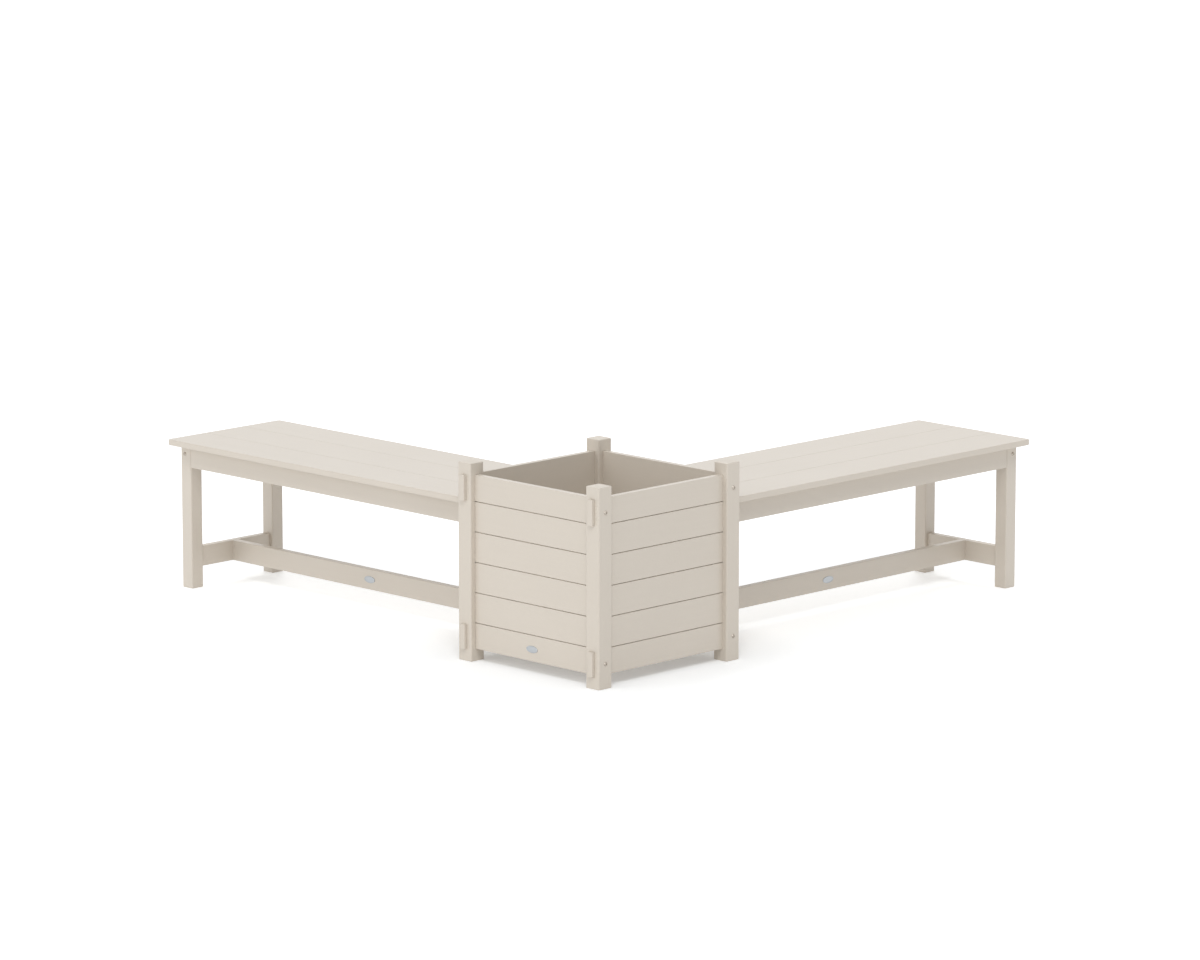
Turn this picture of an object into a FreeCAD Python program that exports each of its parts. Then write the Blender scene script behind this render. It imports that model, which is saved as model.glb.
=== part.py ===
import FreeCAD, Part
import Sketcher
import math
import os
import re

# Corner seat with a planter.
#
# A square planter box stands at the corner. One backless bench runs from it
# along +X and a second, equal bench runs along +Y. The origin is the middle of
# the corner post's foot, on the ground, and +Z is up.
#
# The planter has four posts and four sides of six tongued boards. The sides
# that run along X send the tenons of their top and bottom boards right through
# the posts. The sides that run along Y are held by screws through the posts,
# and those screws also lock the tenons. Each bench has two legs at its far end
# and hangs on the planter, between two posts, at the other.

# Driving dimensions in millimetres, apart from the two counts.
DIMENSIONS = {
    # planter posts
    "planter_side": 560,
    "post_side": 52,
    "post_height": 568,
    "post_stand": 34,
    "post_round": 5,
    "post_top_round": 3,
    "foot_round": 2,
    # planter sides
    "panel_base": 35,
    "panel_recess": 17,
    "board_thickness": 18,
    "rail_height": 74.5,
    "rim_height": 76.5,
    "course_count": 6,
    "board_round": 2.5,
    "rim_round": 1.2,
    "reveal": 2,
    "tongue_height": 6,
    "tongue_thickness": 6,
    "housing_depth": 8,
    "tenon_stand": 10,
    "tenon_shoulder": 3,
    "tenon_round": 2,
    # planter floor
    "cleat_rise": 3,
    "cleat_height": 25,
    "cleat_thickness": 20,
    "floor_thickness": 12,
    "floor_gap": 2,
    "drain_diameter": 16,
    "drain_pitch": 150,
    "cleat_screw_pitch": 150,
    # bench seat
    "seat_length": 1320,
    "seat_drop": 117,
    "seat_board": 147.6,
    "seat_board_gap": 1.1,
    "seat_board_count": 3,
    "seat_thickness": 18,
    "seat_round": 3,
    "seat_corner_round": 9,
    "seat_joint_round": 0.5,
    "seat_end_gap": 3,
    # bench frame
    "leg_side": 44,
    "leg_span": 365,
    "leg_inset": 14.5,
    "leg_round": 4,
    "apron_height": 66.5,
    "apron_recess": 1,
    "end_apron_recess": 9,
    "stretcher_base": 60.5,
    "stretcher_height": 61,
    "stretcher_thickness": 22,
    "batten_width": 60,
    "batten_thickness": 18,
    "batten_housing": 6,
    "batten_screw_edge": 20,
    "edge_round": 1.5,
    "stub_length": 12,
    "stub_shoulder": 4,
    # screws
    "screw_length": 80,
    "screw_diameter": 6,
    "screw_head": 12,
    "screw_dome": 4,
    "screw_edge": 36,
    "side_screw_drop": 28,
    "end_screw_drop": 46,
    "joint_margin": 14,
    "stretcher_screw_edge": 16,
    "small_screw_length": 30,
    "small_screw_diameter": 4,
    "small_screw_head": 9,
    "small_screw_dome": 2.5,
    # blank oval plates
    "plate_length": 44,
    "plate_height": 20,
    "plate_thickness": 1.5,
    "plate_setback": 673,
    "plate_drop": 2.5,
    # fits
    "fit": 0.2,
    "end_play": 0.5,
    "hole_play": 0.3,
}

# Places worked out from the driving dimensions, measured from the planter's
# centre (X and Y) and from the ground (Z).
CENTRE = "(planter_side - post_side) / 2"
PANEL_TOP = "(post_height - post_stand)"
HIGHEST_JOINT = f"({PANEL_TOP} - rim_height)"
LOWEST_JOINT = "(panel_base + rail_height)"
COURSE_HEIGHT = f"(({HIGHEST_JOINT} - {LOWEST_JOINT}) / (course_count - 2))"
PANEL_FACE = "(planter_side / 2 - panel_recess)"
PANEL_INSIDE = f"({PANEL_FACE} - board_thickness)"
FLOOR_BASE = "(panel_base + cleat_rise + cleat_height)"
UNDERSIDE = "(post_height - seat_drop - seat_thickness)"
APRON_BASE = f"({UNDERSIDE} - apron_height)"
SEAT_START = f"({PANEL_FACE} + seat_end_gap)"
SEAT_WIDTH = "(seat_board_count * (seat_board + seat_board_gap) - seat_board_gap)"
LEG_END = f"({SEAT_START} + seat_length - leg_inset)"
LEG_START = f"({LEG_END} - leg_side)"
LEG_INSIDE = "(leg_span / 2 - leg_side)"
APRON_FACE = "(leg_span / 2 - apron_recess)"
APRON_INSIDE = f"({APRON_FACE} - board_thickness)"
APRON_START = f"({PANEL_FACE} + board_thickness)"
CROSS_MIDDLE = f"({LEG_END} - leg_side / 2)"
STUB_THICKNESS = "(board_thickness - 2 * stub_shoulder)"
SIDE_SCREW_LEVEL = f"({UNDERSIDE} - side_screw_drop)"
END_SCREW_LEVEL = f"({UNDERSIDE} - end_screw_drop)"
STRETCHER_SCREW_LEVEL = "(stretcher_base + stretcher_height / 2)"
STRETCHER_SCREWS = (("Low", "stretcher_screw_edge"), ("High", "stretcher_height - stretcher_screw_edge"))

# The screw of a side's top board is as far from the joint below it as the
# bottom board's screw is from the joint above.
RIM_SCREW_LEVEL = "(rail_height - screw_edge)"

# The ledger's screws stand at its middle, moved up or down where a joint
# between two courses of the planter's side would be too near.
LEDGER_MIDDLE = f"({UNDERSIDE} - apron_height / 2)"
COURSES_BELOW = f"floor(({LEDGER_MIDDLE} - {LOWEST_JOINT}) / {COURSE_HEIGHT})"
JOINT_BELOW = f"({LOWEST_JOINT} + {COURSES_BELOW} * {COURSE_HEIGHT})"
LEDGER_SCREW_FLOOR = f"max({LEDGER_MIDDLE}; {JOINT_BELOW} + joint_margin)"
LEDGER_SCREW_LEVEL = f"min({LEDGER_SCREW_FLOOR}; {JOINT_BELOW} + {COURSE_HEIGHT} - joint_margin)"

SCREW_HOLE = "(screw_diameter + 2 * hole_play)"
SMALL_HOLE = "(small_screw_diameter + 2 * hole_play)"

X_AXIS = FreeCAD.Vector(1, 0, 0)
Y_AXIS = FreeCAD.Vector(0, 1, 0)
Z_AXIS = FreeCAD.Vector(0, 0, 1)
NEAR = 0.01
ROUGH_SIDE = 50

doc = FreeCAD.newDocument("CornerBench")
sheet = doc.addObject("Spreadsheet::Sheet", "Sizes")
for row, (alias, amount) in enumerate(DIMENSIONS.items(), 1):
    sheet.set(f"A{row}", alias)
    sheet.set(f"B{row}", str(amount))
    sheet.setAlias(f"B{row}", alias)
doc.recompute()

nodes = []
frame_screw_holes = []
small_screw_holes = []


def size(alias):
    """One driving dimension, read back from the sheet."""
    return float(sheet.get(alias))


def with_sheet(formula):
    """A formula in the sheet's own names, with the sheet named before each of them."""
    return re.sub(r"\b[a-z]\w+\b(?!\()", r"Sizes.\g<0>", formula)


def worked_out(formula):
    """The value of a formula written in the sheet's own names."""
    return float(sheet.evalExpression(with_sheet(formula)))


def bind(target, prop, formula):
    """Ties one property to a formula written in the sheet's own names."""
    target.setExpression(prop, with_sheet(formula))


def bind_position(target, x, y, z):
    """Ties a placement's three coordinates to formulas."""
    for axis, formula in zip("xyz", (x, y, z)):
        bind(target, f"Placement.Base.{axis}", formula)


def new_body(label, turn, x, y, z):
    """Starts a piece whose lowest corner is at x, y, z of a frame turned by quarter turns.

    The frame stands on the planter's centre: x runs along a side or a bench,
    y across it, and turn counts the quarter turns about Z.
    """
    body = doc.addObject("PartDesign::Body", label)
    body.Label = label
    body.Placement.Rotation = FreeCAD.Rotation(Z_AXIS, 90 * turn)
    turned = {
        0: (f"{CENTRE} + {x}", f"{CENTRE} + {y}"),
        1: (f"{CENTRE} - ({y})", f"{CENTRE} + {x}"),
        2: (f"{CENTRE} - ({x})", f"{CENTRE} - ({y})"),
        3: (f"{CENTRE} + {y}", f"{CENTRE} - ({x})"),
    }
    bind_position(body, *turned[turn], z)
    nodes.append(body)
    return body


def rectangle(body, plane, width, height):
    """Draws a rough square from the plane's corner, then ties both its sizes to the sheet."""
    sketch = body.newObject("Sketcher::SketchObject", "Section")
    origin = [item for item in body.Origin.OriginFeatures if item.Role == plane][0]
    sketch.AttachmentSupport = (origin, [""])
    sketch.MapMode = "FlatFace"
    shares = ((0, 0), (1, 0), (1, 1), (0, 1))
    corners = [FreeCAD.Vector(x * ROUGH_SIDE, y * ROUGH_SIDE) for x, y in shares]
    for start, end in zip(corners, corners[1:] + corners[:1]):
        sketch.addGeometry(Part.LineSegment(start, end))
    sketch.addConstraint(Sketcher.Constraint("Coincident", 0, 1, -1, 1))
    for line in range(4):
        sketch.addConstraint(Sketcher.Constraint("Coincident", line, 2, (line + 1) % 4, 1))
        sketch.addConstraint(Sketcher.Constraint(("Horizontal", "Vertical")[line % 2], line))
    spans = (("Width", 0, "DistanceX", width), ("Height", 1, "DistanceY", height))
    for name, line, kind, formula in spans:
        index = sketch.addConstraint(Sketcher.Constraint(kind, line, 1, line, 2, ROUGH_SIDE))
        sketch.renameConstraint(index, name)
        bind(sketch, f"Constraints.{name}", formula)
    return sketch


def pad(body, plane, width, height, length):
    """Pads a rectangle into the piece's plain stock."""
    sketch = rectangle(body, plane, width, height)
    stock = body.newObject("PartDesign::Pad", "Stock")
    stock.Profile = sketch
    bind(stock, "Length", length)
    sketch.Visibility = False
    doc.recompute()
    return stock


def block(body, kind, name, corner, sizes):
    """Adds or cuts a block, such as a tenon or a mortise."""
    solid = body.newObject(f"PartDesign::{kind}Box", name)
    for prop, formula in zip(("Length", "Width", "Height"), sizes):
        bind(solid, prop, formula)
    bind_position(solid, *corner)
    doc.recompute()
    return solid


def drill(body, name, start, direction, depth, diameter):
    """Drills a round hole from a point on the piece's surface."""
    hole = body.newObject("PartDesign::SubtractiveCylinder", name)
    hole.Placement.Rotation = FreeCAD.Rotation(Z_AXIS, direction)
    bind(hole, "Radius", f"{diameter} / 2")
    bind(hole, "Height", depth)
    bind_position(hole, *start)
    doc.recompute()
    return body, hole


def ease(body, name, radius, wanted):
    """Rounds the edges of the piece so far that the test picks."""
    base = body.Tip
    picked = [f"Edge{number}" for number, edge in enumerate(base.Shape.Edges, 1) if wanted(edge)]
    fillet = body.newObject("PartDesign::Fillet", name)
    fillet.Base = (base, picked)
    bind(fillet, "Radius", radius)
    doc.recompute()


def runs_along(edge, axis):
    """True for an edge that is parallel to an axis."""
    run = edge.Vertexes[-1].Point - edge.Vertexes[0].Point
    return run.cross(axis).Length < NEAR < run.Length


def lies_at(edge, axis, level):
    """True for an edge all of whose ends are at one level along an axis."""
    return all(abs(vertex.Point.dot(axis) - level) < NEAR for vertex in edge.Vertexes)


def make_post(label, x_sign, y_sign):
    """A square post: housings on its two inner faces, two through mortises and two screw holes."""
    near_corner = {-1: "-planter_side / 2", 1: "planter_side / 2 - post_side"}
    body = new_body(label, 0, near_corner[x_sign], near_corner[y_sign], "0")
    pad(body, "XY_Plane", "post_side", "post_side", "post_height")
    ease(body, "Arrises", "post_round", lambda edge: runs_along(edge, Z_AXIS))
    ease(body, "Top", "post_top_round", lambda edge: lies_at(edge, Z_AXIS, size("post_height")))
    ease(body, "Foot", "foot_round", lambda edge: lies_at(edge, Z_AXIS, 0))

    def across(sign, inset, thickness):
        """A stretch that starts at an inset from the post's outer face on one axis."""
        return inset if sign < 0 else f"post_side - {inset} - {thickness}"

    slot = "(board_thickness + 2 * fit)"
    slot_x = across(x_sign, "(panel_recess - fit)", slot)
    slot_y = across(y_sign, "(panel_recess - fit)", slot)
    inner_x = "post_side - housing_depth" if x_sign < 0 else "0"
    inner_y = "post_side - housing_depth" if y_sign < 0 else "0"
    slot_base = "panel_base - fit"
    slot_height = f"{PANEL_TOP} - panel_base + 2 * fit"
    block(body, "Subtractive", "HousingX", (inner_x, slot_y, slot_base),
          ("housing_depth", slot, slot_height))
    block(body, "Subtractive", "HousingY", (slot_x, inner_y, slot_base),
          (slot, "housing_depth", slot_height))
    for name, base, height in (("Low", "panel_base", "rail_height"),
                               ("High", f"{HIGHEST_JOINT} + tenon_shoulder", "rim_height")):
        block(body, "Subtractive", f"Mortise{name}", ("0", slot_y, f"{base} - fit"),
              ("post_side", slot, f"{height} - tenon_shoulder + 2 * fit"))
    outer_y = "0" if y_sign < 0 else "post_side"
    middle_x = across(x_sign, "panel_recess", "board_thickness") + " + board_thickness / 2"
    for name, level in (("Low", "panel_base + screw_edge"), ("High", f"{HIGHEST_JOINT} + {RIM_SCREW_LEVEL}")):
        mouth = (middle_x, outer_y, level)
        hole = drill(body, f"Hole{name}", mouth, -y_sign * Y_AXIS, "post_side", SCREW_HOLE)
        frame_screw_holes.append(hole)


def make_side_board(label, turn, course):
    """One board of a planter side, with its tongue, groove, shouldered tenons and screw holes."""
    last = int(size("course_count")) - 1
    is_rail = course in (0, last)
    goes_through = is_rail and turn in (0, 2)
    if course == 0:
        base = "panel_base"
    elif course == last:
        base = HIGHEST_JOINT
    else:
        base = f"{LOWEST_JOINT} + {course - 1} * {COURSE_HEIGHT}"
    height = {0: "rail_height", last: "rim_height"}.get(course, COURSE_HEIGHT)
    housed = "(planter_side - 2 * post_side + 2 * housing_depth)"
    if goes_through:
        length = "(planter_side + 2 * tenon_stand)"
        joint_start = "(tenon_stand + post_side - housing_depth)"
    else:
        length = housed if is_rail else f"({housed} - 2 * end_play)"
        joint_start = "0"
    joint_length = f"({length} - 2 * {joint_start})"
    body = new_body(label, turn, f"-{length} / 2", f"-{PANEL_FACE}", base)
    pad(body, "YZ_Plane", "board_thickness", height, length)

    def is_rim(edge):
        """The two long edges on top of the top board."""
        return course == last and runs_along(edge, X_AXIS) and lies_at(edge, Z_AXIS, size("rim_height"))

    lip = "((board_thickness - tongue_thickness) / 2 - fit)"
    ease(body, "FaceEdges", "board_round",
         lambda edge: runs_along(edge, X_AXIS) and lies_at(edge, Y_AXIS, 0) and not is_rim(edge))
    if course == last:
        ease(body, "RimEdges", "rim_round", is_rim)
    if goes_through:
        shoulder = "rail_height - tenon_shoulder" if course == 0 else "0"
        for name, place in (("Near", "0"), ("Far", f"{length} - {joint_start}")):
            block(body, "Subtractive", f"Shoulder{name}", (place, "0", shoulder),
                  (joint_start, "board_thickness", "tenon_shoulder"))
        for name, place in (("Near", 0), ("Far", worked_out(length))):
            ease(body, f"Tenon{name}", "tenon_round", lambda edge: lies_at(edge, X_AXIS, place))
    if course > 0:
        block(body, "Subtractive", "Reveal", (joint_start, "0", "0"), (joint_length, lip, "reveal"))
    if course < last:
        block(body, "Additive", "Tongue", (joint_start, "(board_thickness - tongue_thickness) / 2", height),
              (joint_length, "tongue_thickness", "tongue_height"))
    if course > 0:
        block(body, "Subtractive", "Groove", (joint_start, lip, "0"),
              (joint_length, "tongue_thickness + 2 * fit", "tongue_height + end_play"))

    level = "screw_edge" if course == 0 else RIM_SCREW_LEVEL
    if goes_through:
        for name, place in (("Near", "tenon_stand + panel_recess + board_thickness / 2"),
                            ("Far", f"{length} - tenon_stand - panel_recess - board_thickness / 2")):
            drill(body, f"Lock{name}", (place, "0", level), Y_AXIS, "board_thickness", SCREW_HOLE)
    elif is_rail:
        depth = "screw_length - post_side + housing_depth + end_play"
        for name, place, way in (("Near", "0", X_AXIS), ("Far", length, -X_AXIS)):
            drill(body, f"Pilot{name}", (place, "board_thickness / 2", level), way, depth, SCREW_HOLE)
    if course == 0 and turn in (1, 3):
        for step in (-1, 0, 1):
            place = f"{length} / 2 + {step} * cleat_screw_pitch"
            drill(body, f"CleatPilot{step + 2}", (place, "board_thickness", "cleat_rise + cleat_height / 2"),
                  -Y_AXIS, "small_screw_length - cleat_thickness + end_play", SMALL_HOLE)
    return body, f"{length} / 2", base


def course_at(level):
    """The number of the course of boards that a level falls in."""
    above = worked_out(f"({level} - {LOWEST_JOINT}) / {COURSE_HEIGHT}")
    last = int(size("course_count")) - 1
    return max(0, min(1 + math.floor(above), last))


def make_planter_side(name, turn):
    """Six boards, drilled for the screws that carry a bench where one docks."""
    for course in range(int(size("course_count"))):
        body, middle, base = make_side_board(f"planter_{name}_board_{course + 1}", turn, course)
        if turn not in (1, 2):
            continue
        if course == course_at(LEDGER_SCREW_LEVEL):
            for end, sign in (("Near", "-"), ("Far", "+")):
                start = (f"{middle} {sign} ({APRON_INSIDE} + board_thickness / 2)", "board_thickness",
                         f"{LEDGER_SCREW_LEVEL} - ({base})")
                hole = drill(body, f"Ledger{end}", start, -Y_AXIS, "board_thickness", SCREW_HOLE)
                frame_screw_holes.append(hole)
        if course == course_at(STRETCHER_SCREW_LEVEL):
            start = (middle, "board_thickness", f"{STRETCHER_SCREW_LEVEL} - ({base})")
            hole = drill(body, "Stretcher", start, -Y_AXIS, "board_thickness", SCREW_HOLE)
            frame_screw_holes.append(hole)


def make_cleat(label, turn):
    """A strip screwed along the foot of a side, inside, that carries the floor."""
    length = "(planter_side - 2 * post_side - 2 * floor_gap)"
    body = new_body(label, turn, f"-{length} / 2", f"-{PANEL_INSIDE}", "panel_base + cleat_rise")
    pad(body, "XY_Plane", length, "cleat_thickness", "cleat_height")
    ease(body, "Edges", "edge_round", lambda edge: runs_along(edge, X_AXIS)
         and lies_at(edge, Y_AXIS, size("cleat_thickness")))
    for step in (-1, 0, 1):
        start = (f"{length} / 2 + {step} * cleat_screw_pitch", "cleat_thickness", "cleat_height / 2")
        hole = drill(body, f"Hole{step + 2}", start, -Y_AXIS, "cleat_thickness", SMALL_HOLE)
        small_screw_holes.append(hole)


def make_floor():
    """The planter's floor: one sheet, notched round the posts, with nine drain holes."""
    side = f"(2 * ({PANEL_INSIDE} - floor_gap))"
    notch = "(post_side - panel_recess - board_thickness)"
    body = new_body("planter_floor", 0, f"-{side} / 2", f"-{side} / 2", FLOOR_BASE)
    pad(body, "XY_Plane", side, side, "floor_thickness")
    for number, (x, y) in enumerate(((0, 0), (1, 0), (0, 1), (1, 1))):
        corner = [f"{share} * ({side} - {notch})" for share in (x, y)]
        block(body, "Subtractive", f"Notch{number}", (*corner, "0"), (notch, notch, "floor_thickness"))
    for row in (-1, 0, 1):
        for column in (-1, 0, 1):
            start = (f"{side} / 2 + {column} * drain_pitch", f"{side} / 2 + {row} * drain_pitch", "0")
            drill(body, f"Drain{row + 2}{column + 2}", start, Z_AXIS, "floor_thickness", "drain_diameter")


def batten_start(number):
    """Where a batten starts along the bench: the two split the clear length in three."""
    return f"({APRON_START} + ({LEG_START} - {APRON_START}) * {number} / 3 - batten_width / 2)"


def batten_screws(number):
    """Where across the bench the two screws of one seat board stand, from the bench's middle."""
    low_edge = f"({number} * (seat_board + seat_board_gap) - {SEAT_WIDTH} / 2)"
    near = f"({low_edge} + batten_screw_edge)"
    far = f"({low_edge} + seat_board - batten_screw_edge)"
    if number == 0:
        near = f"(batten_screw_edge - {APRON_INSIDE})"
    if number == int(size("seat_board_count")) - 1:
        far = f"({APRON_INSIDE} - batten_screw_edge)"
    return ("Near", near), ("Far", far)


def make_seat_board(label, turn, number):
    """One seat board, rounded on the seat's outer edges and corners and barely eased at the joints."""
    place = f"-{SEAT_WIDTH} / 2 + {number} * (seat_board + seat_board_gap)"
    body = new_body(label, turn, SEAT_START, place, UNDERSIDE)
    pad(body, "YZ_Plane", "seat_board", "seat_thickness", "seat_length")
    last = int(size("seat_board_count")) - 1

    def is_joint(edge):
        """Long edges that face a neighbouring board."""
        first_side = number > 0 and lies_at(edge, Y_AXIS, 0)
        second_side = number < last and lies_at(edge, Y_AXIS, size("seat_board"))
        return runs_along(edge, X_AXIS) and (first_side or second_side)

    def is_rim(edge):
        """The long edges on the seat's own outline."""
        return runs_along(edge, X_AXIS) and not is_joint(edge)

    ease(body, "JointEdges", "seat_joint_round", is_joint)
    ends = [("InnerEnd", 0)]
    if number in (0, last):
        outside = size("seat_board") if number else 0
        ease(body, "Corner", "seat_corner_round", lambda edge: runs_along(edge, Z_AXIS)
             and lies_at(edge, X_AXIS, size("seat_length")) and lies_at(edge, Y_AXIS, outside))
        ease(body, "RimEdges", "seat_round", lambda edge: is_rim(edge) and lies_at(edge, Y_AXIS, outside))
    else:
        ends.append(("OuterEnd", size("seat_length")))
    for name, end in ends:
        ease(body, name, "seat_round", lambda edge: lies_at(edge, X_AXIS, end) and runs_along(edge, Y_AXIS))
    for batten in (1, 2):
        for name, across in batten_screws(number):
            along = f"{batten_start(batten)} + batten_width / 2 - {SEAT_START}"
            drill(body, f"{name}Pilot{batten}", (along, f"{across} - ({place})", "0"), Z_AXIS,
                  "small_screw_length - batten_thickness + end_play", SMALL_HOLE)


def make_leg(label, turn, side):
    """A leg at the bench's far end, mortised for the two aprons and the cross stretcher."""
    place = LEG_INSIDE if side > 0 else "-leg_span / 2"
    body = new_body(label, turn, LEG_START, place, "0")
    pad(body, "XY_Plane", "leg_side", "leg_side", UNDERSIDE)
    ease(body, "Arrises", "leg_round", lambda edge: runs_along(edge, Z_AXIS))
    ease(body, "Foot", "foot_round", lambda edge: lies_at(edge, Z_AXIS, 0))
    deep = "stub_length + end_play"
    slot = f"({STUB_THICKNESS} + 2 * fit)"
    inner_y = "0" if side > 0 else f"leg_side - ({deep})"

    apron_place = ("leg_side - apron_recess - board_thickness" if side > 0 else "apron_recess")
    apron_slot = f"{apron_place} + stub_shoulder - fit"
    apron_base = f"{APRON_BASE} + stub_shoulder - fit"
    apron_slot_height = "apron_height - 2 * stub_shoulder + 2 * fit"
    block(body, "Subtractive", "LongApronMortise", ("0", apron_slot, apron_base),
          (deep, slot, apron_slot_height))
    end_slot = "leg_side - end_apron_recess - board_thickness + stub_shoulder - fit"
    block(body, "Subtractive", "EndApronMortise", (end_slot, inner_y, apron_base),
          (slot, deep, apron_slot_height))
    cross_slot = "stretcher_thickness - 2 * stub_shoulder + 2 * fit"
    block(body, "Subtractive", "CrossMortise",
          (f"leg_side / 2 - ({cross_slot}) / 2", inner_y, "stretcher_base + stub_shoulder - fit"),
          (cross_slot, deep, "stretcher_height - 2 * stub_shoulder + 2 * fit"))

    outer_y = "leg_side" if side > 0 else "0"
    end_apron_middle = "leg_side - end_apron_recess - board_thickness / 2"
    side_hole = drill(body, "SideHole", (end_apron_middle, outer_y, SIDE_SCREW_LEVEL),
                      -side * Y_AXIS, "leg_side", SCREW_HOLE)
    end_hole = drill(body, "EndHole", ("leg_side", f"{apron_place} + board_thickness / 2", END_SCREW_LEVEL),
                     -X_AXIS, "leg_side", SCREW_HOLE)
    frame_screw_holes.extend((side_hole, end_hole))


def make_long_apron(label, turn, side):
    """The long rail under one edge of the seat, from the ledger to a leg."""
    place = APRON_INSIDE if side > 0 else f"-{APRON_FACE}"
    length = f"({LEG_START} - {APRON_START})"
    body = new_body(label, turn, APRON_START, place, APRON_BASE)
    pad(body, "YZ_Plane", "board_thickness", "apron_height", length)
    ease(body, "Edges", "edge_round", lambda edge: runs_along(edge, X_AXIS))
    block(body, "Additive", "Stub", (length, "stub_shoulder", "stub_shoulder"),
          ("stub_length", STUB_THICKNESS, "apron_height - 2 * stub_shoulder"))
    seat_y = "0" if side > 0 else "board_thickness - batten_housing"
    for number in (1, 2):
        block(body, "Subtractive", f"Housing{number}",
              (f"{batten_start(number)} - {APRON_START} - fit", seat_y, "apron_height - batten_thickness"),
              ("batten_width + 2 * fit", "batten_housing", "batten_thickness"))
    middle = "board_thickness / 2"
    drill(body, "InnerPilot", ("0", middle, f"{LEDGER_SCREW_LEVEL} - {APRON_BASE}"), X_AXIS,
          "screw_length - 2 * board_thickness + end_play", SCREW_HOLE)
    drill(body, "OuterPilot", (f"{length} + stub_length", middle, f"{END_SCREW_LEVEL} - {APRON_BASE}"),
          -X_AXIS, "screw_length - leg_side + stub_length + end_play", SCREW_HOLE)


def add_stubs(body, length, thickness, height):
    """Puts a stub tenon on both ends of a rail that runs across the bench."""
    for name, place in (("Near", "-stub_length"), ("Far", length)):
        block(body, "Additive", f"Stub{name}", ("stub_shoulder", place, "stub_shoulder"),
              (f"{thickness} - 2 * stub_shoulder", "stub_length", f"{height} - 2 * stub_shoulder"))


def make_end_apron(label, turn):
    """The rail between the two legs, under the seat's far end."""
    length = f"(2 * {LEG_INSIDE})"
    start = f"{LEG_END} - end_apron_recess - board_thickness"
    body = new_body(label, turn, start, f"-{LEG_INSIDE}", APRON_BASE)
    pad(body, "XY_Plane", "board_thickness", length, "apron_height")
    ease(body, "Edges", "edge_round", lambda edge: runs_along(edge, Y_AXIS))
    add_stubs(body, length, "board_thickness", "apron_height")
    depth = "screw_length - leg_side + stub_length + end_play"
    middle = "board_thickness / 2"
    level = f"{SIDE_SCREW_LEVEL} - {APRON_BASE}"
    drill(body, "NearPilot", (middle, "-stub_length", level), Y_AXIS, depth, SCREW_HOLE)
    drill(body, "FarPilot", (middle, f"{length} + stub_length", level), -Y_AXIS, depth, SCREW_HOLE)


def make_ledger(label, turn):
    """The rail that lies flat on the planter and carries the bench's inner end."""
    body = new_body(label, turn, PANEL_FACE, f"-{APRON_FACE}", APRON_BASE)
    pad(body, "XY_Plane", "board_thickness", f"2 * {APRON_FACE}", "apron_height")
    ease(body, "Edges", "edge_round", lambda edge: runs_along(edge, Y_AXIS)
         and lies_at(edge, X_AXIS, size("board_thickness")))
    for name, place in (("Near", "board_thickness / 2"), ("Far", f"2 * {APRON_FACE} - board_thickness / 2")):
        drill(body, f"{name}Hole", ("0", place, f"{LEDGER_SCREW_LEVEL} - {APRON_BASE}"), X_AXIS,
              "board_thickness", SCREW_HOLE)


def make_cross_stretcher(label, turn):
    """The low rail between the two legs, with a mortise for the long stretcher."""
    length = f"(2 * {LEG_INSIDE})"
    start = f"{CROSS_MIDDLE} - stretcher_thickness / 2"
    body = new_body(label, turn, start, f"-{LEG_INSIDE}", "stretcher_base")
    pad(body, "XY_Plane", "stretcher_thickness", length, "stretcher_height")
    ease(body, "Edges", "edge_round", lambda edge: runs_along(edge, Y_AXIS))
    add_stubs(body, length, "stretcher_thickness", "stretcher_height")
    slot = "(stretcher_thickness - 2 * stub_shoulder + 2 * fit)"
    block(body, "Subtractive", "Mortise", ("0", f"{LEG_INSIDE} - {slot} / 2", "stub_shoulder - fit"),
          ("stub_length + end_play", slot, "stretcher_height - 2 * stub_shoulder + 2 * fit"))
    for name, level in STRETCHER_SCREWS:
        hole = drill(body, f"{name}Hole", ("stretcher_thickness", LEG_INSIDE, level), -X_AXIS,
                     "stretcher_thickness", SCREW_HOLE)
        frame_screw_holes.append(hole)


def make_long_stretcher(label, turn):
    """The low rail down the bench's middle, from the planter to the cross stretcher."""
    length = f"({CROSS_MIDDLE} - stretcher_thickness / 2 - {PANEL_FACE})"
    body = new_body(label, turn, PANEL_FACE, "-stretcher_thickness / 2", "stretcher_base")
    pad(body, "YZ_Plane", "stretcher_thickness", "stretcher_height", length)
    ease(body, "Edges", "edge_round", lambda edge: runs_along(edge, X_AXIS))
    block(body, "Additive", "Stub", (length, "stub_shoulder", "stub_shoulder"),
          ("stub_length", "stretcher_thickness - 2 * stub_shoulder", "stretcher_height - 2 * stub_shoulder"))
    middle = "stretcher_thickness / 2"
    drill(body, "InnerPilot", ("0", middle, "stretcher_height / 2"), X_AXIS,
          "screw_length - board_thickness + end_play", SCREW_HOLE)
    for name, level in STRETCHER_SCREWS:
        drill(body, f"{name}Pilot", (f"{length} + stub_length", middle, level), -X_AXIS,
              "screw_length - stretcher_thickness + stub_length + end_play", SCREW_HOLE)


def make_batten(label, turn, number):
    """A strip under the seat that ties its three boards and is let into both aprons."""
    length = f"(2 * ({APRON_INSIDE} + batten_housing - fit))"
    body = new_body(label, turn, batten_start(number), f"-{length} / 2", f"{UNDERSIDE} - batten_thickness")
    pad(body, "XY_Plane", "batten_width", length, "batten_thickness")
    for board in range(int(size("seat_board_count"))):
        for name, across in batten_screws(board):
            start = ("batten_width / 2", f"{length} / 2 + {across}", "0")
            hole = drill(body, f"{name}Hole{board}", start, Z_AXIS, "batten_thickness", SMALL_HOLE)
            small_screw_holes.append(hole)


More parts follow.
